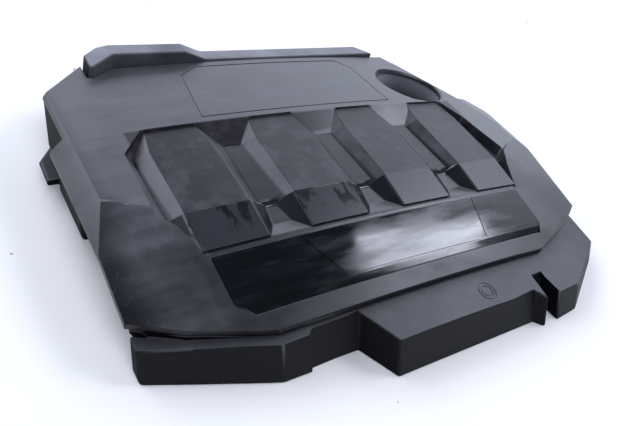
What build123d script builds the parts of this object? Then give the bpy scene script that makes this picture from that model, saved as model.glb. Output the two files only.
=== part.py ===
"""Engine cover of a four-cylinder car engine, lying on its lower rim.

X runs along the row of humps, Y to the rear, Z up. The origin is on the floor
under the middle of the cover's overall box. Sizes are in millimetres; while it
is built, x = 0 is the middle of the hump row, y = 0 the humps' rear edge and
z = 0 the floor.
"""
import os
from math import atan2, cos, degrees, radians, sin, tan

from build123d import *

os.makedirs("parts", exist_ok=True)

# Row of humps, one per cylinder
PITCH = 88.0
HUMP_COUNT = 4
CROWN_RADIUS = 2900.0

# Panel seen from the side, rear to front
WALL = 2.5
FIELD_Z = 56.0
PANEL_REAR_Y = 84.0
FIELD_FRONT_Y = -84.0
BAND_TOP_Y = -122.0
BAND_TOP_Z = 44.5
BAND_SLOPE = 10.0
APRON_DEPTH = 15.5
APRON_SLOPE = 11.0
PANEL_FRONT_Y = -184.5
LIP = 4.0
LIP_WIDTH = 3.1

# Panel seen from above
FRONT_HALF = 131.0
CORNER_X = 187.0
CORNER_Y = -165.5
EDGE_X = 218.0
EDGE_FRONT_Y = -149.0
WING_REAR_Y = 4.0
SIDE_X = 208.0
REAR_LEFT_Y = 60.0
REAR_CORNER_Y = 93.0
REAR_RIGHT_X = 140.0
FIELD_RIGHT = ((146.0, 74.0), (187.0, 5.0), (206.0, -43.0))
WING_RIGHT = ((203.0, 7.0), (217.0, -12.0))

# Falling sides of the panel: wings along the edges and a broad flank at each front corner
SHOULDER_X = 205.0
WING_SLOPE_LEFT = 36.0
WING_SLOPE_RIGHT = 22.0
WING_RIGHT_Z = 43.5
FLANK_POINTS = ((-204.5, -62.0, 49.0), (-176.5, -84.5, 49.4), (-217.0, -150.0, 30.0))

# Trough that the humps stand in
TROUGH_REAR_Y = 1.5
TROUGH_FRONT_Y = -121.0
TROUGH_LEFT = ((-175.0, -22.0), (-177.0, -86.0), (-166.0, -96.0))
TROUGH_RIGHT = ((165.0, -27.0), (173.0, -78.0), (164.0, -96.0))
TROUGH_FRONT_HALF = 155.0
RAMP_Y = -21.0
VALLEY_Z = 46.0
CREASE_Y = -86.0
FRONT_VALLEY_Z = 41.5

# One hump
HUMP_REAR_Z = 54.0
HUMP_CREASE_Z = 51.0
HUMP_TOE_Z = 45.2
TOE_LEDGE = 3.5
HUMP_HALF = 25.0
HUMP_REAR_HALF = 20.0
HUMP_FOOT = 11.0
HUMP_SIDE_DROP = 7.0
SHOULDER_Y = -22.0

# Oval oil-filler opening in the panel
FILLER_X = 139.0
FILLER_Y = 30.5
FILLER_LONG = 34.0
FILLER_SHORT = 23.5
FILLER_END_RADIUS = 18.5
FILLER_TURN = -36.0
FILLER_DISH = 2.5
FILLER_CLEARANCE = 4.0
COLLAR_Z = 14.0

# Fine lines: one round the rear field, one in the band, a ring mark on the front block
LINE_WIDTH = 0.9
LINE_DEPTH = 0.5
FIELD_LINE = ((-103.0, 7.0), (-96.0, 66.0), (-78.0, 78.0), (72.0, 78.0), (84.0, 66.0), (92.0, 7.0))
BAND_LINE = ((-87.0, -118.0), (-65.5, -162.5), (70.0, -163.3), (79.5, -161.4), (94.0, -118.0))
MARK_X = 46.0
MARK_Y = -203.0
MARK_RADII = (8.0, 5.2)

# Gloss band in its seat
BAND_SEAT = 2.2
BAND_GAP = 0.3
BAND_PROUD = 0.2
BAND_TOP_HALF = 153.0
BAND_END_RISE = 9.0
BAND_END_HALF = 152.0
BAND_BOTTOM_HALF = 142.0
LIP_BEVEL_Y = 5.5
LIP_BEVEL_Z = 1.2

# Body: the lower moulding, drawn along a line that leans back against the panel's normal
DRAW_LEAN = 28.6
PLAN_Z = 25.0
BODY_LEFT = ((-173.0, 83.0), (-207.0, 52.0), (-207.0, 2.0), (-214.0, -2.0), (-214.0, -54.0), (-190.0, -58.0),
             (-190.0, -142.0))
BODY_FRONT_LEFT = ((-215.0, -149.0), (-215.0, -160.0), (-184.5, -171.5), (-140.0, -187.5), (-131.0, -190.5),
                   (-109.0, -190.5))
NOTCH_LEFT_X = -108.0
NOTCH_RIGHT_X = -68.0
NOTCH_Y = -187.0
BLOCK_LEFT_X = -53.0
BLOCK_RIGHT_X = 92.0
SLOT_X = 103.0
SLOT_WIDTH = 11.0
SLOT_Y = -202.0
BODY_RIGHT = ((117.0, -222.0), (145.0, -219.5), (213.0, -182.0), (219.0, -150.0), (214.0, -70.0), (214.0, -18.0),
              (202.0, -3.0), (184.0, -5.0), (144.0, 57.0))
BODY_REAR = ((112.0, 87.0), (-160.0, 87.0))
DECK_Z = 27.5
BLOCK_Z = 25.5
BLOCK_FRONT_Y = -216.0
CAVITY_Z = 12.0
BODY_WALL = 9.0
UPSTAND_WALL = 6.0
CURB_INSET = 1.0
SKIRT_Z = 12.0
SKIRT_FRONT_Y = -82.0
SHUT_GAP = 2.0
RIGHT_CORNER = ((143.0, -190.0, 25.0), (146.0, -219.0, 24.0), (213.0, -182.0, 18.0))

# Rear strip with the raised ridge on its left
STRIP_GAP = 1.5
STRIP_DEPTH = 15.0
STRIP_Z = 57.0
STRIP_RIGHT_X = 112.0
RIDGE_Z = 65.0
RIDGE_END_Z = 57.5
RIDGE_LEFT_X = -169.0
RIDGE_TOE_Y = 75.5
RIDGE_BEND_X = -147.5
RIDGE_TOP_X = -84.0
RIDGE_FOOT_X = -64.0

# Pointed tab on the left wall
TAB = ((-205.0, 42.0), (-219.5, 24.0), (-220.0, 1.0), (-205.0, 1.0))
TAB_Z = 10.0
TAB_THICKNESS = 5.0

# Posts under the panel and the rubber grommets in them
POST_PLACES = ((-120.0, 42.0), (70.0, 42.0), (-120.0, -146.0), (112.0, -140.0))
POST_RADIUS = 11.0
POST_ROOF = 6.0
SEAT_Z = 23.0
SPIGOT_RADIUS = 8.5
SPIGOT_CLEARANCE = 0.3
SOCKET_RADIUS = 5.0
SOCKET_DEPTH = 10.0
GROMMET_NECK = 6.5
GROMMET_HEIGHT = 9.5
GROMMET_FIT = 0.1
FLANGE_RADIUS = 12.5
FLANGE_THICKNESS = 3.0

BAND_BOTTOM_Y = PANEL_FRONT_Y + APRON_DEPTH
BAND_FALL = tan(radians(BAND_SLOPE))
LEAN = tan(radians(DRAW_LEAN))
CROWN_AXIS = Axis((0, 0, FIELD_Z - CROWN_RADIUS), (0, 1, 0))
LOW = -20.0
HIGH = FIELD_Z + 20


def band_z(y):
    """Height of the sloping front surface at the middle of the cover."""
    return BAND_TOP_Z - BAND_FALL * (BAND_TOP_Y - y)


def outline(points):
    """A flat face through (x, y) corners."""
    return make_face(Polyline(*points, close=True))


def upright(face, low=LOW, high=HIGH):
    """A plan face carried straight up between two heights."""
    return extrude(Pos(0, 0, low) * face, high - low)


def drawn(face, level, low, high):
    """A plan face that is true at one level, carried along the leaning draw direction."""
    start = Pos(0, LEAN * (low - level), low) * face
    length = (high - low) / cos(radians(DRAW_LEAN))
    return extrude(start, length, dir=(0, sin(radians(DRAW_LEAN)), cos(radians(DRAW_LEAN))))


def crowned(profile, half_width):
    """A (y, z) profile face swept over the width along the cover's slight crown."""
    half = degrees(half_width / CROWN_RADIUS)
    start = (Plane.YZ * profile).rotate(CROWN_AXIS, -half)
    return revolve(start, CROWN_AXIS, 2 * half)


def trimmed(solid, a, b, c, inset=0.0):
    """Cut away what lies above the plane through three points, moved down by inset."""
    a, b, c = Vector(a), Vector(b), Vector(c)
    normal = (b - a).cross(c - a).normalized()
    if normal.Z < 0:
        normal = normal * -1
    return split(solid, bisect_by=Plane(a - normal * inset, z_dir=normal), keep=Keep.BOTTOM)


# Inner outline of the rear strip; the panel follows it at the gap
strip_y = PANEL_REAR_Y + STRIP_GAP
ridge_toe = [(RIDGE_LEFT_X, RIDGE_TOE_Y + 1.5), (RIDGE_LEFT_X + 3.5, RIDGE_TOE_Y), (RIDGE_BEND_X, strip_y)]

# The panel's plan outline
left_edge = [(-CORNER_X, CORNER_Y), (-EDGE_X, EDGE_FRONT_Y), (-EDGE_X, WING_REAR_Y), (-SIDE_X, WING_REAR_Y + 4),
             (-SIDE_X, REAR_LEFT_Y), (RIDGE_LEFT_X - STRIP_GAP, REAR_CORNER_Y)]
rear_edge = [(x - STRIP_GAP, y - STRIP_GAP) for x, y in ridge_toe] + [(REAR_RIGHT_X, PANEL_REAR_Y)]
right_edge = [*FIELD_RIGHT[:2], *WING_RIGHT, (EDGE_X, FIELD_RIGHT[2][1]), (EDGE_X, EDGE_FRONT_Y),
              (CORNER_X, CORNER_Y)]
front_edge = [(FRONT_HALF, PANEL_FRONT_Y), (-FRONT_HALF, PANEL_FRONT_Y)]
panel_plan = outline(left_edge + rear_edge + right_edge + front_edge)


def shoulder_z(x):
    """Height of the crowned rear field at a given x."""
    return FIELD_Z - x * x / (2 * CROWN_RADIUS)


def envelope(inset):
    """The panel's outside before the humps and the seat are cut, moved in by inset."""
    apron_z = band_z(BAND_BOTTOM_Y) - tan(radians(APRON_SLOPE)) * (BAND_BOTTOM_Y - PANEL_FRONT_Y)
    side = outline([(REAR_CORNER_Y, LOW), (REAR_CORNER_Y, FIELD_Z), (FIELD_FRONT_Y, FIELD_Z),
                    (BAND_TOP_Y, BAND_TOP_Z), (BAND_BOTTOM_Y, band_z(BAND_BOTTOM_Y)),
                    (PANEL_FRONT_Y, apron_z), (PANEL_FRONT_Y, LOW)])
    plan = panel_plan
    if inset:
        side = offset(side, -inset, kind=Kind.INTERSECTION)
        side += outline([(REAR_CORNER_Y - inset, 2 * LOW), (REAR_CORNER_Y - inset, 0),
                         (PANEL_FRONT_Y + inset, 0), (PANEL_FRONT_Y + inset, 2 * LOW)])
        plan = offset(plan, -inset, kind=Kind.INTERSECTION)
    solid = crowned(side, EDGE_X + 15) & upright(plan, 2 * LOW)
    top = shoulder_z(SHOULDER_X)
    for hand, slope in ((-1, WING_SLOPE_LEFT), (1, WING_SLOPE_RIGHT)):
        foot = top - tan(radians(slope)) * (EDGE_X - SHOULDER_X)
        solid = trimmed(solid, (hand * SHOULDER_X, 0, top), (hand * SHOULDER_X, -100, top),
                        (hand * EDGE_X, 0, foot), inset)
        solid = trimmed(solid, *((-hand * x, y, z) for x, y, z in FLANK_POINTS), inset)
    field_line = [(x, y, shoulder_z(x)) for x, y in FIELD_RIGHT[1:]]
    return trimmed(solid, *field_line, (*WING_RIGHT[1], WING_RIGHT_Z), inset)


def trough(grow):
    """The space that the humps stand in, made larger all round by grow."""
    side = outline([(TROUGH_REAR_Y, HIGH), (TROUGH_REAR_Y, FIELD_Z), (RAMP_Y, VALLEY_Z),
                    (CREASE_Y + 2, VALLEY_Z - 1), (CREASE_Y - 2, FRONT_VALLEY_Z + 0.5),
                    (CREASE_Y - 20, FRONT_VALLEY_Z), (TROUGH_FRONT_Y + TOE_LEDGE, BAND_TOP_Z - 0.1),
                    (TROUGH_FRONT_Y, BAND_TOP_Z - 0.1), (TROUGH_FRONT_Y, HIGH)])
    rear_half = (HUMP_COUNT - 1) / 2 * PITCH + HUMP_REAR_HALF + 2
    rear_y, front_y = TROUGH_REAR_Y + 1, TROUGH_FRONT_Y - 1
    plan = outline([(-rear_half, rear_y), *TROUGH_LEFT, (-TROUGH_FRONT_HALF, front_y),
                    (TROUGH_FRONT_HALF, front_y), *TROUGH_RIGHT[::-1], (rear_half, rear_y)])
    if grow:
        side = offset(side, grow, kind=Kind.INTERSECTION)
        plan = offset(plan, grow, kind=Kind.INTERSECTION)
    return crowned(side, EDGE_X + 10) & upright(plan)


def hump(inset):
    """One faceted hump at the middle of the row, moved in by inset."""
    front = TROUGH_FRONT_Y + TOE_LEDGE + inset
    rear = TROUGH_REAR_Y - inset
    solid = upright(outline([(-PITCH / 2, front), (PITCH / 2, front), (PITCH / 2, rear), (-PITCH / 2, rear)]))
    solid = trimmed(solid, (0, 0, HUMP_REAR_Z), (1, 0, HUMP_REAR_Z), (0, CREASE_Y, HUMP_CREASE_Z), inset)
    solid = trimmed(solid, (0, CREASE_Y, HUMP_CREASE_Z), (1, CREASE_Y, HUMP_CREASE_Z),
                    (0, TROUGH_FRONT_Y, HUMP_TOE_Z), inset)
    shoulder_top = HUMP_REAR_Z + (HUMP_CREASE_Z - HUMP_REAR_Z) * SHOULDER_Y / CREASE_Y
    for hand in (-1, 1):
        edge = hand * HUMP_HALF
        foot = hand * (HUMP_HALF + HUMP_FOOT)
        solid = trimmed(solid, (edge, SHOULDER_Y, shoulder_top), (edge, CREASE_Y, HUMP_CREASE_Z),
                        (foot, CREASE_Y, HUMP_CREASE_Z - HUMP_SIDE_DROP), inset)
        solid = trimmed(solid, (edge, CREASE_Y, HUMP_CREASE_Z), (edge, TROUGH_FRONT_Y, HUMP_TOE_Z),
                        (foot, CREASE_Y, HUMP_CREASE_Z - HUMP_SIDE_DROP), inset)
        solid = trimmed(solid, (hand * HUMP_REAR_HALF, 0, HUMP_REAR_Z), (edge, SHOULDER_Y, shoulder_top),
                        (foot, SHOULDER_Y, shoulder_top - HUMP_SIDE_DROP), inset)
    return solid


def hump_row(inset):
    """The humps, set along the crown at the cylinder pitch."""
    one = hump(inset)
    row = []
    for number in range(HUMP_COUNT):
        x = (number - (HUMP_COUNT - 1) / 2) * PITCH
        row.append(one.rotate(CROWN_AXIS, degrees(x / CROWN_RADIUS)))
    return row


def skin(inset):
    """The panel's form with trough and humps; the shell is one of these less a smaller one."""
    space = trough(inset)
    for one in hump_row(inset):
        space -= one
    return envelope(inset) - space


# Gloss band: plan outline and its layer over the sloping front
band_half = [(BAND_TOP_HALF, BAND_TOP_Y - 1), (BAND_END_HALF, BAND_BOTTOM_Y + BAND_END_RISE), (BAND_BOTTOM_HALF, BAND_BOTTOM_Y)]
band_plan = outline([(-x, y) for x, y in band_half] + band_half[::-1])


def band_layer(below, above, margin=0.0):
    """A layer along the sloping front, between two heights off its surface."""
    rear, front = BAND_TOP_Y + 5 + margin, BAND_BOTTOM_Y - 5 - margin
    return crowned(outline([(rear, band_z(rear) + above), (rear, band_z(rear) - below),
                            (front, band_z(front) - below), (front, band_z(front) + above)]), EDGE_X)


seat = upright(band_plan) & band_layer(BAND_SEAT, 15)
backing = upright(offset(band_plan, WALL, kind=Kind.INTERSECTION)) & band_layer(BAND_SEAT + WALL, 15)

# Panel shell, with its free edge trimmed to a short lip
outside = skin(0.0)
hollow = skin(WALL) - backing
panel = outside - seat - hollow
rim = upright(offset(panel_plan, 5, kind=Kind.INTERSECTION), 3 * LOW) - upright(
    offset(panel_plan, -LIP_WIDTH, kind=Kind.INTERSECTION), 3 * LOW)
panel -= (Pos(0, 0, -LIP) * envelope(0.0)) & rim

# Oil-filler opening with a dished edge and a collar below
filler_z = shoulder_z(FILLER_X)


def filler_oval(grow, z=0.0):
    """The filler's oval of four arcs at a height, made larger all round by grow."""
    long, short, end = FILLER_LONG + grow, FILLER_SHORT + grow, FILLER_END_RADIUS + grow
    side = ((long - end) ** 2 + short ** 2 - end ** 2) / (2 * (short - end))
    turn = atan2(side - short, long - end)
    x, y = long - end + end * cos(turn), end * sin(turn)
    arcs = [ThreePointArc((x, -y), (long, 0), (x, y)), ThreePointArc((x, y), (0, short), (-x, y)),
            ThreePointArc((-x, y), (-long, 0), (-x, -y)), ThreePointArc((-x, -y), (0, -short), (x, -y))]
    return Pos(FILLER_X, FILLER_Y, z) * Rot(0, 0, FILLER_TURN) * make_face(arcs)


panel += upright(filler_oval(WALL), COLLAR_Z, filler_z - WALL / 2)
panel -= upright(filler_oval(0))
panel -= extrude(filler_oval(0, filler_z - FILLER_DISH), 2 * FILLER_DISH, taper=-45)

# Faint outline in the rear field
field_face = outline(FIELD_LINE)
field_groove = upright(field_face) - upright(offset(field_face, -LINE_WIDTH, kind=Kind.INTERSECTION))
panel -= field_groove & crowned(outline([(0, FIELD_Z - LINE_DEPTH), (REAR_CORNER_Y, FIELD_Z - LINE_DEPTH),
                                         (REAR_CORNER_Y, HIGH), (0, HIGH)]), EDGE_X)

# Hollow posts under the panel: a shoulder on the deck and a spigot through it, cored to a roof under the skin
posts = [Pos(x, y, 0) for x, y in POST_PLACES]
solid_panel = outside - seat
for x, y in POST_PLACES:
    place = Pos(x, y, 0)
    roof_z = min(FIELD_Z, band_z(y)) - (FIELD_Z - shoulder_z(x)) - POST_ROOF
    panel += (place * upright(Circle(POST_RADIUS), SEAT_Z, HIGH)) & solid_panel
    panel += place * upright(Circle(SPIGOT_RADIUS), CAVITY_Z, SEAT_Z + 1)
    panel -= place * upright(Circle(GROMMET_NECK + GROMMET_FIT), CAVITY_Z, roof_z)

# Band in its seat, with the bevelled lower lip and the line round its inner field
band = upright(offset(band_plan, -BAND_GAP, kind=Kind.INTERSECTION)) & band_layer(BAND_SEAT, BAND_PROUD)
bevel_y = BAND_BOTTOM_Y + LIP_BEVEL_Y
band -= crowned(outline([(bevel_y, band_z(bevel_y) + BAND_PROUD), (bevel_y, HIGH), (BAND_BOTTOM_Y - 2, HIGH),
                         (BAND_BOTTOM_Y - 2, band_z(BAND_BOTTOM_Y - 2) - LIP_BEVEL_Z)]), EDGE_X)
inner_field = outline(BAND_LINE)
band_groove = upright(inner_field) - upright(offset(inner_field, -LINE_WIDTH, kind=Kind.INTERSECTION))
band -= band_groove & band_layer(LINE_DEPTH - BAND_PROUD, 15)

# Body: a tray drawn along the leaning direction under a slightly crowned deck
notch_edge = [(NOTCH_LEFT_X, NOTCH_Y), (NOTCH_RIGHT_X, NOTCH_Y)]
block_edge = [(BLOCK_LEFT_X, BLOCK_FRONT_Y), (BLOCK_RIGHT_X, BLOCK_FRONT_Y), (SLOT_X - 3, BLOCK_FRONT_Y - 8)]
slot_edge = [(SLOT_X, SLOT_Y), (SLOT_X + SLOT_WIDTH, SLOT_Y + 1)]
body_plan = outline([*BODY_LEFT, *BODY_FRONT_LEFT, *notch_edge, *block_edge, *slot_edge, *BODY_RIGHT, *BODY_REAR])
deck_fall = (DECK_Z - BLOCK_Z) / (PANEL_FRONT_Y - BLOCK_FRONT_Y)
nose_y = BLOCK_FRONT_Y - 30


def deck_layer(below):
    """Everything under the deck's top surface, moved down by below."""
    top = DECK_Z - below
    return crowned(outline([(REAR_CORNER_Y + 20, 2 * LOW), (REAR_CORNER_Y + 20, top), (PANEL_FRONT_Y, top),
                            (nose_y, top - deck_fall * (PANEL_FRONT_Y - nose_y)), (nose_y, 2 * LOW)]), EDGE_X + 15)


tray = drawn(body_plan, PLAN_Z, 0, DECK_Z + 1) & deck_layer(0)
tray = trimmed(tray, *((x, y, z - LIP - SHUT_GAP) for x, y, z in FLANK_POINTS))
tray = trimmed(tray, *RIGHT_CORNER)
body = tray - drawn(offset(body_plan, -BODY_WALL, kind=Kind.INTERSECTION), PLAN_Z, -5, CAVITY_Z)

# Walls that stand up to just under the panel, along the body's own edge and along the panel's
under_panel = Pos(0, 0, -LIP - SHUT_GAP) * envelope(0.0)
wall_ring = body_plan - offset(body_plan, -UPSTAND_WALL, kind=Kind.INTERSECTION)
curb = upright(offset(panel_plan, -CURB_INSET, kind=Kind.INTERSECTION)) - upright(
    offset(panel_plan, -CURB_INSET - UPSTAND_WALL, kind=Kind.INTERSECTION))
body += drawn(wall_ring, PLAN_Z, CAVITY_Z, FIELD_Z) & under_panel
body += drawn(body_plan, PLAN_Z, CAVITY_Z, FIELD_Z) & curb & under_panel

# Rear strip with the raised ridge on its left
strip_back = strip_y + STRIP_DEPTH
strip_plan = outline(ridge_toe + [(STRIP_RIGHT_X + STRIP_DEPTH, strip_y), (STRIP_RIGHT_X, strip_back),
                                  (RIDGE_LEFT_X + 12, strip_back), (RIDGE_LEFT_X, REAR_CORNER_Y)])
strip_end_x = STRIP_RIGHT_X + STRIP_DEPTH + 5
strip_side = outline([(RIDGE_LEFT_X - 11, 0), (RIDGE_LEFT_X - 11, RIDGE_END_Z), (RIDGE_BEND_X, RIDGE_Z),
                      (RIDGE_TOP_X, RIDGE_Z), (RIDGE_FOOT_X, STRIP_Z), (strip_end_x, STRIP_Z), (strip_end_x, 0)])
body += upright(strip_plan, CAVITY_Z + 6, RIDGE_Z + 5) & extrude(Plane.XZ * strip_side, 400, both=True)

# The left wall stops short of the floor and carries a small pointed tab
skirt_rear_y = REAR_LEFT_Y + 5
body -= Pos(-EDGE_X, (SKIRT_FRONT_Y + skirt_rear_y) / 2, 0) * upright(
    Rectangle(50, skirt_rear_y - SKIRT_FRONT_Y), LOW, SKIRT_Z)
body += upright(outline(TAB), TAB_Z, TAB_Z + TAB_THICKNESS)

# Clearance round the oil filler, ring mark on the block, seats and holes for the posts
body -= upright(filler_oval(WALL + FILLER_CLEARANCE))
for radius in MARK_RADII:
    ring = Circle(radius) - Circle(radius - LINE_WIDTH)
    body -= (Pos(MARK_X, MARK_Y, 0) * upright(ring, 0, HIGH)) - deck_layer(LINE_DEPTH)
for place in posts:
    body -= place * upright(Circle(POST_RADIUS + SPIGOT_CLEARANCE), SEAT_Z)
    body -= place * upright(Circle(SPIGOT_RADIUS + SPIGOT_CLEARANCE))

# Rubber grommets: a neck in the spigot, a flange under the deck and a socket for the ball stud
pieces = {"panel": panel, "band": band, "body": body}
for number, place in enumerate(posts, 1):
    neck = upright(Circle(GROMMET_NECK), CAVITY_Z, CAVITY_Z + GROMMET_HEIGHT)
    flange = upright(Circle(FLANGE_RADIUS), CAVITY_Z - FLANGE_THICKNESS, CAVITY_Z)
    socket = upright(Circle(SOCKET_RADIUS), CAVITY_Z - FLANGE_THICKNESS, CAVITY_Z - FLANGE_THICKNESS + SOCKET_DEPTH)
    pieces[f"grommet_{number}"] = place * (neck + flange - socket)

# The finished cover is moved so that the origin lies under the middle of its box
boxes = [piece.bounding_box() for piece in pieces.values()]
middle_x = (min(box.min.X for box in boxes) + max(box.max.X for box in boxes)) / 2
middle_y = (min(box.min.Y for box in boxes) + max(box.max.Y for box in boxes)) / 2
home = Pos(-middle_x, -middle_y, -min(box.min.Z for box in boxes))
for name, piece in pieces.items():
    export_step(home * piece, f"parts/{name}.step")
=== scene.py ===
"""Looks of a car engine cover: lower body, satin upper panel with humps, gloss band, rubber grommets."""
import math

import bmesh
import bpy
from mathutils import Matrix, Quaternion, Vector


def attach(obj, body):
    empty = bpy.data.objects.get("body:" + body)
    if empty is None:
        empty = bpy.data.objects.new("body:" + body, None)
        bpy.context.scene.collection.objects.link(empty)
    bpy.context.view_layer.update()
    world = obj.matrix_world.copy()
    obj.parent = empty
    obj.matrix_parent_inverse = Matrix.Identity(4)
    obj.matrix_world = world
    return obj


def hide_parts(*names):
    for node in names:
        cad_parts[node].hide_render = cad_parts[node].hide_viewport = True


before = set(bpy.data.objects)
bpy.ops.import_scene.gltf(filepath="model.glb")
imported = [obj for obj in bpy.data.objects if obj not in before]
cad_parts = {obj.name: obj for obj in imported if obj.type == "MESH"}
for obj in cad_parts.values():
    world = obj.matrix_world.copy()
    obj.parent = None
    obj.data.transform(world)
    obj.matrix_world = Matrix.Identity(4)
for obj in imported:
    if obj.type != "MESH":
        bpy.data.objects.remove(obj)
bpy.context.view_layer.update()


# Body: the lower moulding that lies on its rim, in black integral-skin foam.
# It is foamed in one closed mould, which leaves a fine grain and rounded edges,
# and it is held between the shoulders of the panel's posts and the grommets' flanges.

def linear(code):
    """A hex colour, as seen on screen, turned to the linear values that a shader wants."""
    parts = [int(code[i:i + 2], 16) / 255 for i in (1, 3, 5)]
    return [c / 12.92 if c <= 0.04045 else ((c + 0.055) / 1.055) ** 2.4 for c in parts] + [1.0]


def add(tree, kind, links, output=0, **settings):
    """Add a node with its settings and links, and return one of its outputs.

    Links go by socket, or in the order of the sockets: a value, a hex colour or another node's output.
    """
    node = tree.nodes.new("ShaderNode" + kind)
    for name, value in settings.items():
        setattr(node, name, value)
    pairs = links.items() if isinstance(links, dict) else enumerate(links)
    for socket, value in pairs:
        if isinstance(value, bpy.types.NodeSocket):
            tree.links.new(value, node.inputs[socket])
        else:
            node.inputs[socket].default_value = linear(value) if isinstance(value, str) else value
    return node.outputs[output]


def new_material(name):
    """An empty material with its tree, its shader and the place of a point on the piece."""
    material = bpy.data.materials.new(name)
    material.use_nodes = True
    tree = material.node_tree
    return material, tree, tree.nodes["Principled BSDF"], add(tree, "TexCoord", (), "Object")


# What many nodes share. A Mix node has one pair of inputs for numbers and another for colours.
PRODUCT = {"operation": "MULTIPLY"}
LARGER = {"operation": "MAXIMUM"}
SMOOTH = {"interpolation_type": "SMOOTHSTEP"}
COLOURS = {"data_type": "RGBA", "output": 2}
FACTOR, NUMBER_A, NUMBER_B, COLOUR_A, COLOUR_B = 0, 2, 3, 6, 7
FADING = (1.0, 0.0)

# Foam skin: dull black with a leather-like mould grain, greyed by dust where it faces up. Along the rear the
# grey
# is heavier and paler: partly dust, partly a painted highlight. The grain is drawn coarser than on the real
# skin, since a finer one wouldn't show.
# A pair of values is where a border starts and ends, in metres, as a share of the normal or as a height of
# the noise, or what it leads from and to.
FOAM_CLOUD = 0.045
FOAM_GRAIN = 0.0016
LIES_FLAT = (0.65, 0.98)
RIDGE_FOOT = (0.105, 0.135)
RIDGE_GAIN = (0.9, 1.5)
RIM_TOP = (0.016, 0.022)
RIM_SHARE = (0.35, 1.0)
FACES_FRONT = (-0.4, 0.0)
CLINGING_SHARE = 0.8
TURNS_UP = (0.1, 0.8)
FOAM_SHINE = (0.05, 0.5)
RIDGE_SHINE = 0.5
foam, tree, shader, place = new_material("integral_skin_foam")
normal = add(tree, "NewGeometry", (), "Normal")
facing_back = add(tree, "SeparateXYZ", (normal,), "Y")
facing_up = add(tree, "SeparateXYZ", (normal,), "Z")
back = add(tree, "SeparateXYZ", (place,), "Y")
high = add(tree, "SeparateXYZ", (place,), "Z")
cloud = add(tree, "TexNoise", {"Vector": place, "Scale": 1 / FOAM_CLOUD, "Detail": 5.0, "Roughness": 0.6})
settled = add(tree, "MapRange", (facing_up, *LIES_FLAT), **SMOOTH)
above_rim = add(tree, "MapRange", (high, *RIM_TOP, *RIM_SHARE), **SMOOTH)
clouded = add(tree, "Math", (cloud, above_rim), **PRODUCT)
flat_dust = add(tree, "Math", (settled, clouded), **PRODUCT)
# Along the ridge the grey is heavier and paler: partly dust, partly a painted highlight
ridge_dust_and_highlight = add(tree, "MapRange", (back, *RIDGE_FOOT, *RIDGE_GAIN), **SMOOTH)
lying_dust_and_highlight = add(tree, "Math", (flat_dust, ridge_dust_and_highlight), **PRODUCT)
on_ridge = add(tree, "MapRange", (back, *RIDGE_FOOT), **SMOOTH)
faces_front = add(tree, "MapRange", (facing_back, *FACES_FRONT, *FADING), **SMOOTH)
ridge_wall = add(tree, "Math", (on_ridge, faces_front), **PRODUCT)
wall_dust = add(tree, "Math", (ridge_wall, cloud), **PRODUCT)
clinging = add(tree, "Math", (wall_dust, CLINGING_SHARE), **PRODUCT)
greying = add(tree, "Math", (lying_dust_and_highlight, clinging), **LARGER)
dust_and_highlight_colour = add(tree, "Mix", {FACTOR: on_ridge, COLOUR_A: "#57575c", COLOUR_B: "#808088"}, **COLOURS)
colour = add(tree, "Mix", {FACTOR: greying, COLOUR_A: "#0b0b0d", COLOUR_B: dust_and_highlight_colour}, **COLOURS)
skin_shine = add(tree, "MapRange", (facing_up, *TURNS_UP, *FOAM_SHINE), **SMOOTH)
ridge_shine = add(tree, "Math", (ridge_wall, RIDGE_SHINE), **PRODUCT)
shine = add(tree, "Math", (skin_shine, ridge_shine), **LARGER)
grain = add(tree, "TexVoronoi", {"Vector": place, "Scale": 1 / FOAM_GRAIN})
bump = add(tree, "Bump", {"Height": grain, "Strength": 0.25, "Distance": 0.0003})
tree.links.new(colour, shader.inputs["Base Color"])
tree.links.new(shine, shader.inputs["Specular IOR Level"])
tree.links.new(bump, shader.inputs["Normal"])
shader.inputs["Roughness"].default_value = 0.52
shader.inputs["IOR"].default_value = 1.48


def depth_beside(edge, face):
    """How far a face reaches from one of its edges."""
    start = edge.verts[0].co
    along = (edge.verts[1].co - start).normalized()
    return max((corner.co - start).cross(along).length for corner in face.verts)


def mean_width(face):
    """About how wide a face is beside its longest edge."""
    return face.calc_area() / max(edge.calc_length() for edge in face.edges)


# Limits of what is rounded: the narrowest corners, and lengths and widths as multiples of the radius
NARROW_COSINE = 0.9
NARROW_SINE = 0.42
LEAST_SINE = 1e-6
SHORTEST_SIDE = 1.5
LEAST_DEPTH = 2.5
LEAST_WIDTH = 1.2
WIDEST_ROUNDING = 1.5


def length_taken(edge, chosen, radius):
    """What rounding takes off an edge's length at its ends, without limit where a corner is too narrow."""
    taken = 0.0
    for loop in edge.link_loops:
        for corner, other in ((loop.vert, loop.link_loop_prev.edge),
                              (loop.link_loop_next.vert, loop.link_loop_next.edge)):
            along = (edge.other_vert(corner).co - corner.co).normalized()
            aside = (other.other_vert(corner).co - corner.co).normalized()
            sine = max(along.cross(aside).length, LEAST_SINE)
            cosine = along.dot(aside)
            if other in chosen:
                narrow = cosine > NARROW_COSINE
                taken += radius * (1 + cosine) / sine
            else:
                narrow = sine < NARROW_SINE or other.calc_length() < SHORTEST_SIDE * radius / sine
                taken += radius * abs(cosine) / sine
            if narrow:
                return math.inf
    return taken


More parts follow.
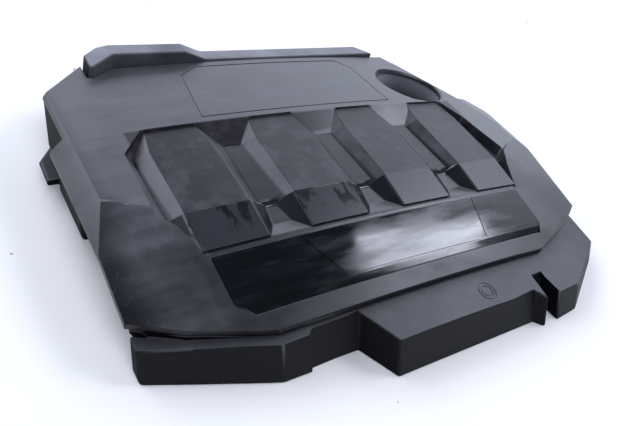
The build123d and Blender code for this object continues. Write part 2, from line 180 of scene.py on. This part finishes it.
def round_edges(shape, radius, least_angle):
    """Round the edges that are still sharp, where the faces beside them and the corners leave room for it."""
    chosen = {edge for edge in shape.edges
              if not edge.smooth and edge.calc_face_angle() > math.radians(least_angle)
              and min(depth_beside(edge, face) for face in edge.link_faces) > LEAST_DEPTH * radius
              and min(mean_width(face) for face in edge.link_faces) > LEAST_WIDTH * radius}
    tight = chosen
    while tight:
        tight = {edge for edge in chosen if length_taken(edge, chosen, radius) > edge.calc_length()}
        chosen -= tight
    made = bmesh.ops.bevel(shape, geom=[edge for edge in shape.edges if edge in chosen], offset=radius,
                           offset_type="OFFSET", affect="EDGES", segments=2, profile=0.5, material=-1,
                           clamp_overlap=False)
    for face in made["faces"]:
        face[shape.faces.layers.int["rounding"]] = int(mean_width(face) < WIDEST_ROUNDING * radius)


def corner_normal(loop, rounding):
    """How a face's corner is shaded: with its own surface, or, on a rounding, as the surface beside it is."""
    if loop.face[rounding]:
        near = {face for edge in (loop.edge, loop.link_loop_prev.edge) for face in edge.link_faces
                if not face[rounding]} or set(loop.vert.link_faces)
    else:
        near = {loop.face}
        todo = [loop.face]
        while todo:
            for edge in todo.pop().edges:
                if edge.smooth and loop.vert in edge.verts:
                    fresh = {face for face in edge.link_faces if not face[rounding]} - near
                    near |= fresh
                    todo += fresh
    total = Vector()
    for face in sorted(near, key=lambda face: face.index):
        total += face.normal * face.calc_area()
    return total.normalized()


# A gap in metres that is closed, and creases in degrees: the largest that is taken out, the largest that is
# shaded through, and the least that is rounded
MERGED_GAP = 1e-6
FLAT_CREASE = 0.2
SOFT_CREASE = 3
ROUNDED_CREASE = 5


def moulding(node_name, piece_name, radii, soft_angle=lambda edge: SOFT_CREASE, detail=lambda shape: None):
    """The CAD node's shape with its edges rounded as a mould leaves them.

    soft_angle gives the largest crease in degrees that is shaded through at an edge, and detail works on
    the shape first. The edges are rounded with each of the radii in turn.
    """
    shape = bmesh.new()
    shape.from_mesh(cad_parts[node_name].data)
    bmesh.ops.remove_doubles(shape, verts=shape.verts, dist=MERGED_GAP)
    bmesh.ops.dissolve_limit(shape, angle_limit=math.radians(FLAT_CREASE),
                             verts=shape.verts, edges=shape.edges)
    rounding = shape.faces.layers.int.new("rounding")
    detail(shape)

    def mark_creases():
        """Keep the shading apart at each crease, but not beside a rounding."""
        shape.normal_update()
        for edge in shape.edges:
            edge.smooth = (math.degrees(edge.calc_face_angle(0.0)) < soft_angle(edge)
                           or any(face[rounding] for face in edge.link_faces))

    mark_creases()
    for radius in radii:
        round_edges(shape, radius, ROUNDED_CREASE)
        mark_creases()
    shape.faces.index_update()
    normals = [corner_normal(loop, rounding) for face in shape.faces for loop in face.loops]
    for face in shape.faces:
        face.smooth = True
    mesh = bpy.data.meshes.new(piece_name)
    shape.to_mesh(mesh)
    shape.free()
    mesh.normals_split_custom_set(normals)
    piece = bpy.data.objects.new(piece_name, mesh)
    bpy.context.scene.collection.objects.link(piece)
    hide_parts(node_name)
    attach(piece, "root")
    return piece


BODY_RADII = (0.0018, 0.0006)
body = moulding("body", "body_moulding", BODY_RADII)
body.data.materials.append(foam)


# Panel: the upper design cover, a satin black moulding in filled polyamide.
# One injection moulding with a crowned field, a deep filler well, four faceted humps
# in a trough and falling flanks; its posts stand on the body, with a shut line all round.
satin, tree, shader, place = new_material("satin_polyamide")
across = add(tree, "SeparateXYZ", (place,), "X")
back = add(tree, "SeparateXYZ", (place,), "Y")
high = add(tree, "SeparateXYZ", (place,), "Z")
width = add(tree, "Math", (across,), operation="ABSOLUTE")
normal = add(tree, "NewGeometry", (), "Normal")
facing_right = add(tree, "SeparateXYZ", (normal,), "X")
facing_back = add(tree, "SeparateXYZ", (normal,), "Y")
facing_up = add(tree, "SeparateXYZ", (normal,), "Z")

# Height above the floor with the crown of the skin taken out, so that one height tells humps from valleys
CROWN = 0.1735
TROUGH_END = (0.166, 0.169)
TROUGH_REAR = (0.0690, 0.0700)
CREASE = (-0.0176, -0.0168)
HUMP_FOOT = (0.0460, 0.0485)
squared = add(tree, "Math", (across, across), **PRODUCT)
level = add(tree, "Math", (squared, CROWN, high), operation="MULTIPLY_ADD")
between_ends = add(tree, "MapRange", (width, *TROUGH_END, *FADING), **SMOOTH)
before_field = add(tree, "MapRange", (back, *TROUGH_REAR, *FADING), **SMOOTH)
in_trough = add(tree, "Math", (between_ends, before_field), **PRODUCT)
behind_crease = add(tree, "MapRange", (back, *CREASE), **SMOOTH)
rear_trough = add(tree, "Math", (in_trough, behind_crease), **PRODUCT)
raised = add(tree, "MapRange", (level, *HUMP_FOOT), **SMOOTH)
sunk = add(tree, "MapRange", (level, *HUMP_FOOT, *FADING), **SMOOTH)
valley = add(tree, "Math", (rear_trough, sunk), **PRODUCT)

# The ramp at the trough's rear is as pale as the field on the right, and as dark as the humps on the left
RAMP_FACING = (-0.38, -0.25)
STEP_FACING = (-0.70, -0.50)
RAMP_CHANGE = (-0.05, 0.06)
RAMP_SHARE = (0.0, 0.85)
sloping = add(tree, "MapRange", (facing_back, *RAMP_FACING, *FADING), **SMOOTH)
no_step = add(tree, "MapRange", (facing_back, *STEP_FACING), **SMOOTH)
on_ramp = add(tree, "Math", (sloping, no_step), **PRODUCT)
to_right = add(tree, "MapRange", (across, *RAMP_CHANGE, *RAMP_SHARE), **SMOOTH)
pale_ramp = add(tree, "Math", (on_ramp, to_right), **PRODUCT)
not_pale = add(tree, "Math", (1.0, pale_ramp), operation="SUBTRACT")
dark_trough = add(tree, "Math", (rear_trough, not_pale), **PRODUCT)
hump_top = add(tree, "Math", (dark_trough, raised), **PRODUCT)
dark_ramp = add(tree, "Math", (dark_trough, sloping), **PRODUCT)

# The humps' fronts fall by one in six, so a height with that fall taken out tells them from what lies
# beside them. The trough narrows towards the front, at both ends by the taper.
FALL = 0.163
TAPER = 0.457
FRONT_END = (0.1735, 0.1752)
FRONT_TOE = (-0.0535, -0.0525)
FRONT_PLANE = (0.0527, 0.0532)
lifted = add(tree, "Math", (back, -FALL, level), operation="MULTIPLY_ADD")
inward = add(tree, "Math", (back, -TAPER, width), operation="MULTIPLY_ADD")
between_tapers = add(tree, "MapRange", (inward, *FRONT_END, *FADING), **SMOOTH)
behind_toe = add(tree, "MapRange", (back, *FRONT_TOE), **SMOOTH)
front_row = add(tree, "Math", (between_tapers, behind_toe), **PRODUCT)
ahead = add(tree, "MapRange", (back, *CREASE, *FADING), **SMOOTH)
before_crease = add(tree, "Math", (front_row, ahead), **PRODUCT)
on_front = add(tree, "MapRange", (lifted, *FRONT_PLANE), **SMOOTH)
hump_front = add(tree, "Math", (before_crease, on_front), **PRODUCT)
off_front = add(tree, "MapRange", (lifted, *FRONT_PLANE, *FADING), **SMOOTH)

# Satin black: a film of dust wiped in streaks over the field, thinner at the rim and in the clean hollows
STREAK = 0.16
PANEL_CLOUD = 0.03
FIELD_FACING = (0.8, 1.0)
FIELD_SHARE = (0.3, 1.0)
LEFT_RIM = (-0.217, -0.195)
LEFT_RIM_SHARE = (0.1, 1.0)
BAND_REAR = (-0.065, -0.03)
BAND_REAR_SHARE = (0.3, 1.3)
LEFT_WING = (-0.165, -0.155)
LEFT_WING_SHARE = (0.65, 0.0)
CLEANED_SHARE = 0.7
wiped = add(tree, "Mapping", {"Vector": place, "Scale": (1.0, 7.0, 3.0), "Rotation": (0.0, 0.0, 0.06)})
streak = add(tree, "TexNoise", {"Vector": wiped, "Scale": 1 / STREAK, "Detail": 6.0, "Roughness": 0.62})
cloud = add(tree, "TexNoise", {"Vector": place, "Scale": 1 / PANEL_CLOUD, "Detail": 7.0, "Roughness": 0.65})
film = add(tree, "Math", (streak, cloud), **PRODUCT)
settled = add(tree, "MapRange", (facing_up, *FIELD_FACING, *FIELD_SHARE), **SMOOTH)
settled_film = add(tree, "Math", (settled, film), **PRODUCT)
rim_share = add(tree, "MapRange", (across, *LEFT_RIM, *LEFT_RIM_SHARE), **SMOOTH)
rear_share = add(tree, "MapRange", (back, *BAND_REAR, *BAND_REAR_SHARE), **SMOOTH)
wing_share = add(tree, "MapRange", (across, *LEFT_WING, *LEFT_WING_SHARE), **SMOOTH)
inner_share = add(tree, "Math", (rear_share, wing_share), **LARGER)
share = add(tree, "Math", (rim_share, inner_share), **PRODUCT)
field_dust = add(tree, "Math", (settled_film, share), **PRODUCT)
clean = add(tree, "Math", (before_crease, valley), **LARGER)
wiped_off = add(tree, "Math", (clean, CLEANED_SHARE), **PRODUCT)
left_over = add(tree, "Math", (1.0, wiped_off), operation="SUBTRACT")
greying = add(tree, "Math", (field_dust, left_over), **PRODUCT)
field_colour = add(tree, "Mix", {FACTOR: greying, COLOUR_A: "#0b0c0f", COLOUR_B: "#76747a"}, **COLOURS)

# Dust dried brown in patches on the humps, and a painted reflection: the sides of the left humps that face
# left are painted paler
PATCH = (0.42, 0.62)
FACES_LEFT = (-0.35, -0.20)
LEFT_HUMPS = (-0.13, 0.03)
SIDE_CLOUD = (0.3, 0.6)
SIDE_SHARE = (0.5, 1.0)
patch = add(tree, "MapRange", (cloud, *PATCH), **SMOOTH)
hump_colour = add(tree, "Mix", {FACTOR: patch, COLOUR_A: "#0f0d11", COLOUR_B: "#37333a"}, **COLOURS)
faces_left = add(tree, "MapRange", (facing_right, *FACES_LEFT, *FADING), **SMOOTH)
left_humps = add(tree, "MapRange", (across, *LEFT_HUMPS, *FADING), **SMOOTH)
left_side = add(tree, "Math", (faces_left, left_humps), **PRODUCT)
side_cloud = add(tree, "MapRange", (cloud, *SIDE_CLOUD, *SIDE_SHARE), **SMOOTH)
# Painted reflection: pale grey on the left-facing sides of the left humps
painted_side_reflection = add(tree, "Math", (left_side, side_cloud), **PRODUCT)
hump_colour_and_reflection = add(tree, "Mix", {FACTOR: painted_side_reflection, COLOUR_A: hump_colour, COLOUR_B: "#5a545c"}, **COLOURS)
topped = add(tree, "Mix", {FACTOR: hump_top, COLOUR_A: field_colour, COLOUR_B: hump_colour_and_reflection}, **COLOURS)

# A painted reflection inside the filler well: the wall that faces its middle is painted pale, less low down
# and on the right
WELL_MIDDLE = (0.1395, 0.0991, 0.0)
WELL_LEFT = (0.100, 0.105)
WELL_FRONT = (0.0705, 0.0715)
WELL_LIP = (0.0500, 0.0535)
WELL_FACING = (-0.010, 0.0)
WELL_HEIGHT = (0.022, 0.046)
WELL_RIGHT = (0.115, 0.150)
WELL_RIGHT_SHARE = (1.0, 0.45)
from_middle = add(tree, "VectorMath", (place, WELL_MIDDLE), operation="SUBTRACT")
outward = add(tree, "VectorMath", (from_middle, normal), "Value", operation="DOT_PRODUCT")
right_of_field = add(tree, "MapRange", (across, *WELL_LEFT), **SMOOTH)
behind_humps = add(tree, "MapRange", (back, *WELL_FRONT), **SMOOTH)
well_place = add(tree, "Math", (right_of_field, behind_humps), **PRODUCT)
below_lip = add(tree, "MapRange", (level, *WELL_LIP, *FADING), **SMOOTH)
faces_middle = add(tree, "MapRange", (outward, *WELL_FACING, *FADING), **SMOOTH)
inner_wall = add(tree, "Math", (below_lip, faces_middle), **PRODUCT)
well = add(tree, "Math", (well_place, inner_wall), **PRODUCT)
high_up = add(tree, "MapRange", (high, *WELL_HEIGHT), **SMOOTH)
upper_well = add(tree, "Math", (well, high_up), **PRODUCT)
well_share = add(tree, "MapRange", (across, *WELL_RIGHT, *WELL_RIGHT_SHARE), **SMOOTH)
painted_well_reflection = add(tree, "Math", (upper_well, well_share), **PRODUCT)
# Painted reflection: the well's inner wall is mixed towards pale grey
with_well_reflection = add(tree, "Mix", {FACTOR: painted_well_reflection, COLOUR_A: topped, COLOUR_B: "#b0b0b8"}, **COLOURS)

# Dark drips that ran down the humps' fronts, most on the left, and pale specks at the left rim
DRIP = 0.011
DRIP_EDGE = (0.47, 0.56)
DRIP_END = (-0.046, -0.030)
DRIP_RIGHT = (-0.02, 0.03)
DRIP_RIGHT_SHARE = (1.0, 0.06)
SPECK = 0.0026
SPECK_EDGE = (0.58, 0.72)
SPECK_RIGHT = (-0.205, -0.190)
SPECK_REAR = (-0.03, 0.0)
running = add(tree, "Mapping", {"Vector": place, "Scale": (1.0, 0.3, 0.3)})
drip = add(tree, "TexNoise", {"Vector": running, "Scale": 1 / DRIP, "Detail": 4.0, "Roughness": 0.6})
drip_shape = add(tree, "MapRange", (drip, *DRIP_EDGE), **SMOOTH)
above_end = add(tree, "MapRange", (back, *DRIP_END), **SMOOTH)
ended_drips = add(tree, "Math", (drip_shape, above_end), **PRODUCT)
drip_share = add(tree, "MapRange", (across, *DRIP_RIGHT, *DRIP_RIGHT_SHARE), **SMOOTH)
drips = add(tree, "Math", (ended_drips, drip_share), **PRODUCT)
smudge = add(tree, "Math", (drips, hump_front), **PRODUCT)
front_colour = add(tree, "Mix", {FACTOR: drips, COLOUR_A: "#2c2e32", COLOUR_B: "#08080a"}, **COLOURS)
fronted = add(tree, "Mix", {FACTOR: hump_front, COLOUR_A: with_well_reflection, COLOUR_B: front_colour}, **COLOURS)
speck = add(tree, "TexNoise", {"Vector": place, "Scale": 1 / SPECK, "Detail": 4.0})
speck_shape = add(tree, "MapRange", (speck, *SPECK_EDGE), **SMOOTH)
at_left = add(tree, "MapRange", (across, *SPECK_RIGHT, *FADING), **SMOOTH)
in_front = add(tree, "MapRange", (back, *SPECK_REAR, *FADING), **SMOOTH)
at_edge = add(tree, "Math", (at_left, in_front), **PRODUCT)
specks = add(tree, "Math", (speck_shape, at_edge), **PRODUCT)
colour = add(tree, "Mix", {FACTOR: specks, COLOUR_A: fronted, COLOUR_B: "#353438"}, **COLOURS)

# How rough it is: the wiped film between clean and dusty, duller on the humps, smoothest in the clean hollows
FILM = (0.12, 0.42)
FILM_ROUGHNESS = (0.28, 0.46)
HUMP_CLOUD = (0.3, 0.7)
HUMP_ROUGHNESS = (0.42, 0.58)
CLEAN_SHARE = 0.9
CLEAN_ROUGHNESS = 0.26
SMUDGE_ROUGHNESS = 0.4
film_roughness = add(tree, "MapRange", (film, *FILM, *FILM_ROUGHNESS))
hump_roughness = add(tree, "MapRange", (cloud, *HUMP_CLOUD, *HUMP_ROUGHNESS))
top_roughness = add(tree, "Mix", {FACTOR: hump_top, NUMBER_A: film_roughness, NUMBER_B: hump_roughness})
cleaned = add(tree, "Math", (clean, CLEAN_SHARE), **PRODUCT)
clean_roughness = add(tree, "Mix", {FACTOR: cleaned, NUMBER_A: top_roughness, NUMBER_B: CLEAN_ROUGHNESS})
roughness = add(tree, "Mix", {FACTOR: smudge, NUMBER_A: clean_roughness, NUMBER_B: SMUDGE_ROUGHNESS})

# How much it shines: less in the hollows, on drips, beside the humps' fronts, at the left rim, in front of
# the band and on the left hump tops
SIDE_FACING = (0.15, 0.30)
VALLEY_SHARE = 0.65
DARK_RAMP_SHARE = 0.8
APRON_END = (0.150, 0.165)
APRON_REAR = (-0.100, -0.095)
APRON_SHARE = (0.46, 0.0)
DULL_RIM = (-0.212, -0.190)
DULL_RIM_SHARE = (0.45, 0.0)
DULL_TOPS = (-0.17, -0.06)
DULL_TOP_SHARE = (0.5, 0.0)
PANEL_SHINE = (0.5, 0.15)
aside = add(tree, "Math", (facing_right,), operation="ABSOLUTE")
faces_aside = add(tree, "MapRange", (aside, *SIDE_FACING), **SMOOTH)
front_sides = add(tree, "Math", (before_crease, faces_aside), **PRODUCT)
beside_front = add(tree, "Math", (front_sides, off_front), **PRODUCT)
dull_fronts = add(tree, "Math", (smudge, beside_front), **LARGER)
dull_valley = add(tree, "Math", (valley, VALLEY_SHARE), **PRODUCT)
dull_ramp = add(tree, "Math", (dark_ramp, DARK_RAMP_SHARE), **PRODUCT)
hollow = add(tree, "Math", (dull_valley, dull_ramp), **LARGER)
between_wings = add(tree, "MapRange", (width, *APRON_END, *FADING), **SMOOTH)
before_band = add(tree, "MapRange", (back, *APRON_REAR, *APRON_SHARE), **SMOOTH)
apron = add(tree, "Math", (between_wings, before_band), **PRODUCT)
dull_rim = add(tree, "MapRange", (across, *DULL_RIM, *DULL_RIM_SHARE), **SMOOTH)
rim = add(tree, "Math", (dull_rim, apron), **LARGER)
not_left = add(tree, "MapRange", (facing_right, *FACES_LEFT), **SMOOTH)
dull_share = add(tree, "MapRange", (across, *DULL_TOPS, *DULL_TOP_SHARE), **SMOOTH)
dull_upper = add(tree, "Math", (not_left, dull_share), **PRODUCT)
dull_tops = add(tree, "Math", (hump_top, dull_upper), **PRODUCT)
worn = add(tree, "Math", (rim, dull_tops), **LARGER)
matt = add(tree, "Math", (dull_fronts, worn), **LARGER)
dullest = add(tree, "Math", (matt, hollow), **LARGER)
shine = add(tree, "MapRange", (dullest, 0.0, 1.0, *PANEL_SHINE), **SMOOTH)

# The fine grain of the tool, which only softens the reflections
PANEL_GRAIN = 0.0009
grain = add(tree, "TexNoise", {"Vector": place, "Scale": 1 / PANEL_GRAIN, "Detail": 2.0})
bump = add(tree, "Bump", {"Height": grain, "Strength": 0.04, "Distance": 0.0002})
tree.links.new(colour, shader.inputs["Base Color"])
tree.links.new(roughness, shader.inputs["Roughness"])
tree.links.new(shine, shader.inputs["Specular IOR Level"])
tree.links.new(bump, shader.inputs["Normal"])
shader.inputs["IOR"].default_value = 1.53

# Where creases are shaded through: the curved wall of the well, and the flanks beside the humps' fronts
WELL_CENTRE = Vector((0.155, 0.105))
WELL_REACH = 0.055
WELL_CREASE = 25
FLANK_SIDE = 0.160
FLANK_REAR = -0.018
FLANK_CREASE = 10


def panel_soft_angle(edge):
    """The front flanks run through without a crease, and the filler well is one curved wall."""
    middle = (edge.verts[0].co + edge.verts[1].co) / 2
    by_well = (middle.xy - WELL_CENTRE).length < WELL_REACH
    if by_well and middle.x > WELL_LEFT[1] and middle.y > WELL_FRONT[0]:
        return WELL_CREASE
    on_flank = abs(middle.x) > FLANK_SIDE and middle.y < FLANK_REAR
    return FLANK_CREASE if on_flank else SOFT_CREASE


# The humps' rear edges: their places along the row, how far back the solids have them, and where the real
# step is; then how the ramp behind them leans, and how near to a cut a corner counts as on it
HUMP_COUNT = 4
FIRST_HUMP = -0.1315
HUMP_PITCH = 0.088
HALF_HUMP = 0.0207
ROW_END = 0.156
RAMP_FRONT = 0.040
RAMP_REAR = 0.0710
REAR_EDGE = (0.0645, 0.0658)
REAR_EDGE_LEVEL = 0.0530
STEP_PLACE = 0.0690
RAMP_NORMAL_BACK = -0.3
RAMP_NORMAL_UP = 0.8
CUT_MERGE = 0.0003
CUT_REACH = 0.0006


def rear_steps(shape):
    """Steepen the slope behind each hump into the small step that the real skin has there."""
    def sloped(face):
        """Whether a face leans as the ramp at the trough's rear does."""
        return face.normal.y < RAMP_NORMAL_BACK and face.normal.z > RAMP_NORMAL_UP

    def of_ramp(face):
        """Whether a face belongs to that ramp."""
        return sloped(face) and all(RAMP_FRONT < corner.co.y < RAMP_REAR for corner in face.verts)

    cuts = [FIRST_HUMP + HUMP_PITCH * hump + side
            for hump in range(HUMP_COUNT) for side in (-HALF_HUMP, HALF_HUMP)]
    for cut in cuts:
        parts = set()
        for face in shape.faces:
            if of_ramp(face):
                parts |= {face} | set(face.edges) | set(face.verts)
        bmesh.ops.bisect_plane(shape, geom=list(parts), dist=CUT_MERGE,
                               plane_co=(cut, 0, 0), plane_no=(1, 0, 0))
        shape.normal_update()
    inner = [edge for edge in shape.edges if all(of_ramp(face) for face in edge.link_faces)
             and not any(all(abs(corner.co.x - cut) < CUT_REACH for corner in edge.verts) for cut in cuts)]
    bmesh.ops.dissolve_edges(shape, edges=inner, use_verts=False)
    shape.normal_update()
    rear_corners = {corner for corner in shape.verts
                    if REAR_EDGE[0] < corner.co.y < REAR_EDGE[1] and abs(corner.co.x) < ROW_END
                    and corner.co.z + CROWN * corner.co.x ** 2 > REAR_EDGE_LEVEL}
    for corner in sorted(rear_corners, key=lambda corner: corner.co.x):
        for face in list(corner.link_faces):
            if sloped(face) and len(face.verts) > 3 and len(rear_corners & set(face.verts)) == 1:
                here = next(loop for loop in face.loops if loop.vert == corner)
                bmesh.utils.face_split(face, here.link_loop_prev.vert, here.link_loop_next.vert)
    for corner in rear_corners:
        corner.co.y = STEP_PLACE


PANEL_RADII = (0.0012, 0.0004)
panel = moulding("panel", "panel_moulding", PANEL_RADII, panel_soft_angle, rear_steps)
panel.data.materials.append(satin)


# Band: the trim strip in front of the humps, in piano-black ABS.
# Moulded in a polished tool and pressed into its seat; it mirrors the lights
# through a thin film of dust and wipe marks.
BAND_RADII = (0.0004,)
SMEAR = 0.05
SMEAR_EDGE = (0.35, 0.75)
SMEAR_ROUGHNESS = (0.05, 0.22)
WIPE = 0.04
WIPE_EDGE = (0.52, 0.72)
WIPE_SHARE = 0.28
gloss, tree, shader, place = new_material("piano_black_abs")
wiped = add(tree, "Mapping", {"Vector": place, "Scale": (1.0, 5.0, 2.0), "Rotation": (0.0, 0.0, -0.1)})
smear = add(tree, "TexNoise", {"Vector": wiped, "Scale": 1 / SMEAR, "Detail": 7.0, "Roughness": 0.65})
haze = add(tree, "MapRange", (smear, *SMEAR_EDGE, *SMEAR_ROUGHNESS))
swept = add(tree, "Mapping", {"Vector": place, "Scale": (1.0, 8.0, 1.0), "Rotation": (0.0, 0.0, 0.7)})
wipe = add(tree, "TexNoise", {"Vector": swept, "Scale": 1 / WIPE, "Detail": 8.0, "Roughness": 0.7})
wipe_shape = add(tree, "MapRange", (wipe, *WIPE_EDGE), **SMOOTH)
mark = add(tree, "Math", (wipe_shape, WIPE_SHARE), **PRODUCT)
black = add(tree, "Mix", {FACTOR: smear, COLOUR_A: "#060709", COLOUR_B: "#101116"}, **COLOURS)
colour = add(tree, "Mix", {FACTOR: mark, COLOUR_A: black, COLOUR_B: "#3a3b44"}, **COLOURS)
tree.links.new(colour, shader.inputs["Base Color"])
tree.links.new(haze, shader.inputs["Roughness"])
shader.inputs["IOR"].default_value = 1.54

band = moulding("band", "gloss_band", BAND_RADII)
band.data.materials.append(gloss)


# Grommets: ball-socket grommets in black rubber, pushed into the panel's posts from below.
# Their flanges hold the body up, and their sockets snap over the engine's ball studs.
GROMMET_COUNT = 4
GROMMET_RADII = (0.0005,)
GROMMET_CREASE = 25
BLOOM = 0.006
rubber, tree, shader, place = new_material("black_rubber")
# Moulded rubber: a dead black that greys in patches where its wax comes to the surface
bloom = add(tree, "TexNoise", {"Vector": place, "Scale": 1 / BLOOM, "Detail": 4.0})
colour = add(tree, "Mix", {FACTOR: bloom, COLOUR_A: "#131314", COLOUR_B: "#2a2a2b"}, **COLOURS)
tree.links.new(colour, shader.inputs["Base Color"])
shader.inputs["Roughness"].default_value = 0.75
for number in range(1, GROMMET_COUNT + 1):
    grommet = moulding(f"grommet_{number}", f"rubber_grommet_{number}", GROMMET_RADII,
                       lambda edge: GROMMET_CREASE)
    grommet.data.materials.append(rubber)


# Floor: a wide sheet of white paper that the cover lies on.
# It is matt and faintly uneven, with a few small specks of dirt.
FLOOR_SIZE = 14.0
STAIN = 0.12
DIRT = 0.012
DIRT_EDGE = (0.75, 0.79)
bpy.ops.mesh.primitive_plane_add(size=FLOOR_SIZE)
floor = bpy.context.object
floor.name = "floor"
paper, tree, shader, place = new_material("white_paper")
stain = add(tree, "TexNoise", {"Vector": place, "Scale": 1 / STAIN, "Detail": 6.0})
dirt = add(tree, "TexNoise", {"Vector": place, "Scale": 1 / DIRT, "Detail": 2.0})
dirt_shape = add(tree, "MapRange", (dirt, *DIRT_EDGE), **SMOOTH)
white = add(tree, "Mix", {FACTOR: stain, COLOUR_A: "#f6f3ee", COLOUR_B: "#fffdf8"}, **COLOURS)
colour = add(tree, "Mix", {FACTOR: dirt_shape, COLOUR_A: white, COLOUR_B: "#8a8884"}, **COLOURS)
tree.links.new(colour, shader.inputs["Base Color"])
shader.inputs["Roughness"].default_value = 0.9
floor.data.materials.append(paper)


# Light: a studio tent that is bright low at the back and dark overhead, with three soft boxes.
# One box is mirrored in the right of the band, one lights the humps from behind on the left,
# and one lights the floor in front.
ROOF = (0.63, 0.73)
REAR_WALL = (0.0, 0.4)
REAR_WALL_SHARE = (0.06, 1.0)
GLOW = (0.08, 2.3)
tent = bpy.data.worlds.new("studio_tent")
tent.use_nodes = True
tree = tent.node_tree
direction = add(tree, "TexCoord", (), "Generated")
height = add(tree, "SeparateXYZ", (direction,), "Z")
depth = add(tree, "SeparateXYZ", (direction,), "Y")
under_roof = add(tree, "MapRange", (height, *ROOF, *FADING), **SMOOTH)
behind = add(tree, "MapRange", (depth, *REAR_WALL, *REAR_WALL_SHARE), **SMOOTH)
wall = add(tree, "Math", (under_roof, behind), **PRODUCT)
glow = add(tree, "MapRange", (wall, 0.0, 1.0, *GLOW))
background = tree.nodes["Background"]
background.inputs["Color"].default_value = linear("#e6eeff")
tree.links.new(glow, background.inputs["Strength"])
bpy.context.scene.world = tent


def softbox(name, place, target, size, power, roll=0.0):
    """A rectangular light at a place, turned to a target and rolled by an angle in degrees."""
    light = bpy.data.lights.new(name, "AREA")
    light.shape = "RECTANGLE"
    light.size, light.size_y = size
    light.energy = power
    light.color = linear("#e9eeff")[:3]
    lamp = bpy.data.objects.new(name, light)
    lamp.location = place
    aim = (Vector(target) - Vector(place)).to_track_quat("-Z", "Y")
    lamp.rotation_euler = (aim @ Quaternion((0, 0, 1), math.radians(roll))).to_euler()
    bpy.context.scene.collection.objects.link(lamp)


softbox("band_light", place=(1.104, 0.028, 1.2476), target=(-0.046, -0.072, 0.0876),
        size=(0.56, 0.55), power=10.5, roll=-17.0)
softbox("left_light", place=(-1.1, 1.55, 1.45), target=(-0.1, 0.0, 0.0), size=(2.0, 1.5), power=22.0)
softbox("floor_light", place=(-0.3, -0.9, 1.9), target=(0.0, 0.0, 0.0), size=(1.2, 1.2), power=19.0)


# Camera: it stands in front of the cover on the left and looks down on it, rolled as the photo is.
# Its place and its three directions were fitted to the corners of the humps.
CAMERA_PLACE = (-0.32511, -0.30190, 0.34299)
RIGHT = (0.81252, -0.51181, 0.27902)
UPWARD = (0.16554, 0.66154, 0.73141)
BACKWARD = (-0.55893, -0.54810, 0.62224)
camera_data = bpy.data.cameras.new("camera")
camera_data.sensor_width = 36.0
camera_data.lens = 36.56
camera_data.clip_start = 0.01
camera = bpy.data.objects.new("camera", camera_data)
turn = Matrix((RIGHT, UPWARD, BACKWARD)).transposed().to_4x4()
camera.matrix_world = Matrix.Translation(CAMERA_PLACE) @ turn
bpy.context.scene.collection.objects.link(camera)
bpy.context.scene.camera = camera
bpy.context.scene.view_settings.view_transform = "Standard"
